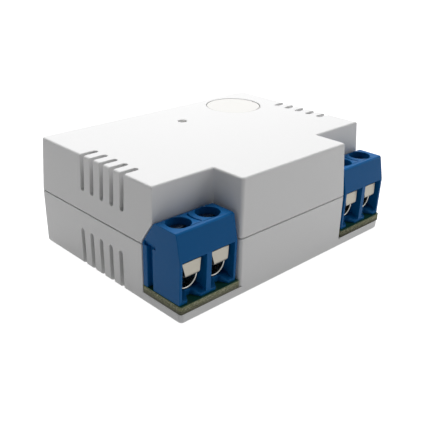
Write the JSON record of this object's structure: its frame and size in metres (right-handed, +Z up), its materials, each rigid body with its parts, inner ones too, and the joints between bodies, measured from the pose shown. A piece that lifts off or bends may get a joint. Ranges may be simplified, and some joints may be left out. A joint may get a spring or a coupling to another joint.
{
  "type": "smart relay module",
  "caption": "Flat boxed smart relay module with a snap case, end vents, a push button, a light guide and screw terminal blocks at both front corners.",
  "frame": {"origin": "middle of the underside of the case", "axes": "+X along the length, +Z up, the wire entries face -Y"},
  "size_m": [0.0448, 0.0334, 0.0176],
  "materials": {
    "case_white": "matte",
    "terminal_blue": "satin",
    "plated_brass": "satin",
    "zinc_screw": "satin",
    "board_laminate": "satin",
    "solder": "satin",
    "button_white": "matte",
    "clear_guide": "clear",
    "lamp": "gloss",
    "switch_black": "matte",
    "relay_cover": "gloss",
    "relay_nylon": "matte",
    "soft_iron": "satin",
    "copper": "gloss",
    "silver": "gloss",
    "can": "satin",
    "sleeve": "gloss",
    "rubber": "matte",
    "ferrite": "matte",
    "resistor_enamel": "matte",
    "varistor_epoxy": "gloss",
    "chip_epoxy": "matte",
    "radio_blue": "satin"
  },
  "bodies": {
    "case": {"upper_shell": "case_white", "lower_shell": "case_white", "circuit_board": "board_laminate", "solder_joints": "solder", "light_guide": "clear_guide", "status_led": "lamp", "switch_body": "switch_black", "switch_plate": "zinc_screw", "switch_legs": "solder", "relay_cover": "relay_cover", "relay_base": "relay_nylon", "relay_yoke": "soft_iron", "relay_core": "soft_iron", "relay_bobbin": "relay_nylon", "relay_winding": "copper", "relay_coil_pins": "copper", "fixed_contact_strip": "copper", "fixed_contact": "silver", "choke_core": "ferrite", "choke_winding": "copper", "fuse_resistor": "resistor_enamel", "fuse_resistor_leads": "solder", "varistor": "varistor_epoxy", "varistor_leads": "solder", "rectifier": "chip_epoxy", "rectifier_legs": "solder", "supply_chip": "chip_epoxy", "supply_chip_legs": "solder", "radio_board": "radio_blue", "radio_shield": "soft_iron", "radio_antenna": "copper", "terminal_housing_left": "terminal_blue", "terminal_housing_right": "terminal_blue", "input_capacitor_can": "can", "input_capacitor_sleeve": "sleeve", "input_capacitor_bung": "rubber", "input_capacitor_leads": "solder", "output_capacitor_can": "can", "output_capacitor_sleeve": "sleeve", "output_capacitor_bung": "rubber", "output_capacitor_leads": "solder", "contact_cage_left_1": "plated_brass", "contact_cage_left_2": "plated_brass", "contact_cage_right_1": "plated_brass", "contact_cage_right_2": "plated_brass"},
    "button": {"button_cap": "button_white", "switch_plunger": "switch_black"},
    "armature": {"relay_armature": "soft_iron", "contact_blade": "copper", "moving_contact": "silver"},
    "leaf_left_1": {"clamp_leaf_left_1": "plated_brass"},
    "screw_left_1": {"clamp_screw_left_1": "zinc_screw"},
    "leaf_left_2": {"clamp_leaf_left_2": "plated_brass"},
    "screw_left_2": {"clamp_screw_left_2": "zinc_screw"},
    "leaf_right_1": {"clamp_leaf_right_1": "plated_brass"},
    "screw_right_1": {"clamp_screw_right_1": "zinc_screw"},
    "leaf_right_2": {"clamp_leaf_right_2": "plated_brass"},
    "screw_right_2": {"clamp_screw_right_2": "zinc_screw"}
  },
  "joints": [
    {"name": "leaf_slide_left_1", "type": "slide", "parent": "case", "child": "leaf_left_1", "axis": [0, 0, 1], "range_m": [-0.0015, 0]},
    {"name": "screw_turn_left_1", "type": "hinge", "parent": "leaf_left_1", "child": "screw_left_1", "pos_m": [-0.01966, -0.01325, 0.0105], "axis": [0, 0, 1], "range_deg": [-1080, 0]},
    {"name": "leaf_slide_left_2", "type": "slide", "parent": "case", "child": "leaf_left_2", "axis": [0, 0, 1], "range_m": [-0.0015, 0]},
    {"name": "screw_turn_left_2", "type": "hinge", "parent": "leaf_left_2", "child": "screw_left_2", "pos_m": [-0.01458, -0.01325, 0.0105], "axis": [0, 0, 1], "range_deg": [-1080, 0]},
    {"name": "leaf_slide_right_1", "type": "slide", "parent": "case", "child": "leaf_right_1", "axis": [0, 0, 1], "range_m": [-0.0015, 0]},
    {"name": "screw_turn_right_1", "type": "hinge", "parent": "leaf_right_1", "child": "screw_right_1", "pos_m": [0.01458, -0.01325, 0.0105], "axis": [0, 0, 1], "range_deg": [-1080, 0]},
    {"name": "leaf_slide_right_2", "type": "slide", "parent": "case", "child": "leaf_right_2", "axis": [0, 0, 1], "range_m": [-0.0015, 0]},
    {"name": "screw_turn_right_2", "type": "hinge", "parent": "leaf_right_2", "child": "screw_right_2", "pos_m": [0.01966, -0.01325, 0.0105], "axis": [0, 0, 1], "range_deg": [-1080, 0]},
    {"name": "button_press", "type": "slide", "parent": "case", "child": "button", "axis": [0, 0, 1], "range_m": [-0.00025, 0], "stiffness_N_per_m": 600, "springref_m": 0.0008},
    {"name": "armature_pull", "type": "hinge", "parent": "case", "child": "armature", "pos_m": [0, 0.0012, 0.01243], "axis": [1, 0, 0], "range_deg": [0, 4], "stiffness_Nm_per_rad": 0.01, "springref_deg": -3.44}
  ],
  "couplings": [
    {"joint": "screw_turn_left_1", "follows": "leaf_slide_left_1", "rad_per_m": 12566},
    {"joint": "screw_turn_left_2", "follows": "leaf_slide_left_2", "rad_per_m": 12566},
    {"joint": "screw_turn_right_1", "follows": "leaf_slide_right_1", "rad_per_m": 12566},
    {"joint": "screw_turn_right_2", "follows": "leaf_slide_right_2", "rad_per_m": 12566}
  ]
}
